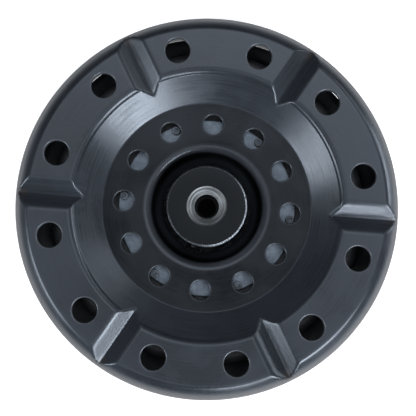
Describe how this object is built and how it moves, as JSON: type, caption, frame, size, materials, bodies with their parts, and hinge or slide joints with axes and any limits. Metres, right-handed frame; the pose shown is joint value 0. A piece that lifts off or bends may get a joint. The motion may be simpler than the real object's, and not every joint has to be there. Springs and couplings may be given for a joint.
{
  "type": "hydraulic motor",
  "caption": "Compact gerotor hydraulic motor whose shaft turns a wide pressed-steel drive bell with bolt holes, radial V-grooves and a recessed hub.",
  "frame": {"origin": "centre of the flat rear face of the port housing, on the shaft's axis, the face that the motor stands or is bolted on", "axes": "+Z along the output shaft out of the drive bell's face; -Y out of the flat face that carries the two work ports"},
  "size_m": [0.202, 0.202, 0.104],
  "materials": {
    "coated_steel": "satin blue-black dip-coated pressed steel",
    "cast_black": "black-painted cast iron",
    "plated_steel": "light blue-grey plated steel",
    "machined_steel": "bare turned and ground steel",
    "bearing_steel": "polished bearing steel",
    "black_oxide": "black oxide steel",
    "seal_rubber": "black nitrile rubber",
    "felt": "oiled grey felt"
  },
  "bodies": {
    "motor_body": {"dust_shield": "coated_steel", "shield_screw_1": "black_oxide", "shield_screw_2": "black_oxide", "shield_screw_3": "black_oxide", "shield_screw_4": "black_oxide", "housing_bolt_1": "black_oxide", "housing_bolt_2": "black_oxide", "housing_bolt_3": "black_oxide", "housing_bolt_4": "black_oxide", "housing_bolt_5": "black_oxide", "housing_bolt_6": "black_oxide", "check_plug_1": "black_oxide", "check_plug_2": "black_oxide", "port_plate": "machined_steel", "wear_plate": "machined_steel", "dowel_pin_1": "machined_steel", "dowel_pin_2": "machined_steel", "check_spring_1": "machined_steel", "check_spring_2": "machined_steel", "rotor_ring": "cast_black", "rear_housing": "cast_black", "front_housing": "cast_black", "front_bearing_outer_race": "bearing_steel", "rear_bearing_outer_race": "bearing_steel", "shaft_seal": "seal_rubber", "front_o_ring": "seal_rubber", "rear_o_ring": "seal_rubber", "dust_ring": "felt", "dust_cover": "plated_steel", "drain_plug": "plated_steel", "cover_screw_1": "plated_steel", "cover_screw_2": "plated_steel", "cover_screw_3": "plated_steel", "cover_screw_4": "plated_steel", "cover_screw_5": "plated_steel", "cover_screw_6": "plated_steel"},
    "output": {"drive_bell": "coated_steel", "hub": "coated_steel", "hub_retaining_ring": "black_oxide", "output_shaft": "machined_steel", "hub_key": "machined_steel", "rotor_key": "machined_steel", "inner_rotor": "machined_steel", "front_bearing_inner_race": "bearing_steel", "rear_bearing_inner_race": "bearing_steel"},
    "outer_rotor_body": {"outer_rotor": "machined_steel"},
    "front_ball_set": {"front_bearing_balls_and_cage": "bearing_steel"},
    "rear_ball_set": {"rear_bearing_balls_and_cage": "bearing_steel"},
    "valve_ball_1": {"check_ball_1": "bearing_steel"},
    "valve_ball_2": {"check_ball_2": "bearing_steel"}
  },
  "joints": [
    {"name": "shaft_spin", "type": "hinge", "parent": "motor_body", "child": "output", "pos_m": [0, 0, 0.038], "axis": [0, 0, 1], "continuous": true},
    {"name": "outer_rotor_spin", "type": "hinge", "parent": "motor_body", "child": "outer_rotor_body", "pos_m": [0, 0.0026, 0.038], "axis": [0, 0, 1], "continuous": true},
    {"name": "front_ball_set_spin", "type": "hinge", "parent": "motor_body", "child": "front_ball_set", "pos_m": [0, 0, 0.0595], "axis": [0, 0, 1], "continuous": true},
    {"name": "rear_ball_set_spin", "type": "hinge", "parent": "motor_body", "child": "rear_ball_set", "pos_m": [0, 0, 0.0175], "axis": [0, 0, 1], "continuous": true},
    {"name": "check_valve_1_lift", "type": "slide", "parent": "motor_body", "child": "valve_ball_1", "axis": [0, 1, 0], "range_m": [0, 0.002], "stiffness_N_per_m": 200, "springref_m": -0.002, "deforming": ["check_spring_1"]},
    {"name": "check_valve_2_lift", "type": "slide", "parent": "motor_body", "child": "valve_ball_2", "axis": [0, 1, 0], "range_m": [0, 0.002], "stiffness_N_per_m": 200, "springref_m": -0.002, "deforming": ["check_spring_2"]}
  ],
  "couplings": [
    {"joint": "outer_rotor_spin", "follows": "shaft_spin", "ratio": 0.85714},
    {"joint": "front_ball_set_spin", "follows": "shaft_spin", "ratio": 0.404},
    {"joint": "rear_ball_set_spin", "follows": "shaft_spin", "ratio": 0.384}
  ]
}
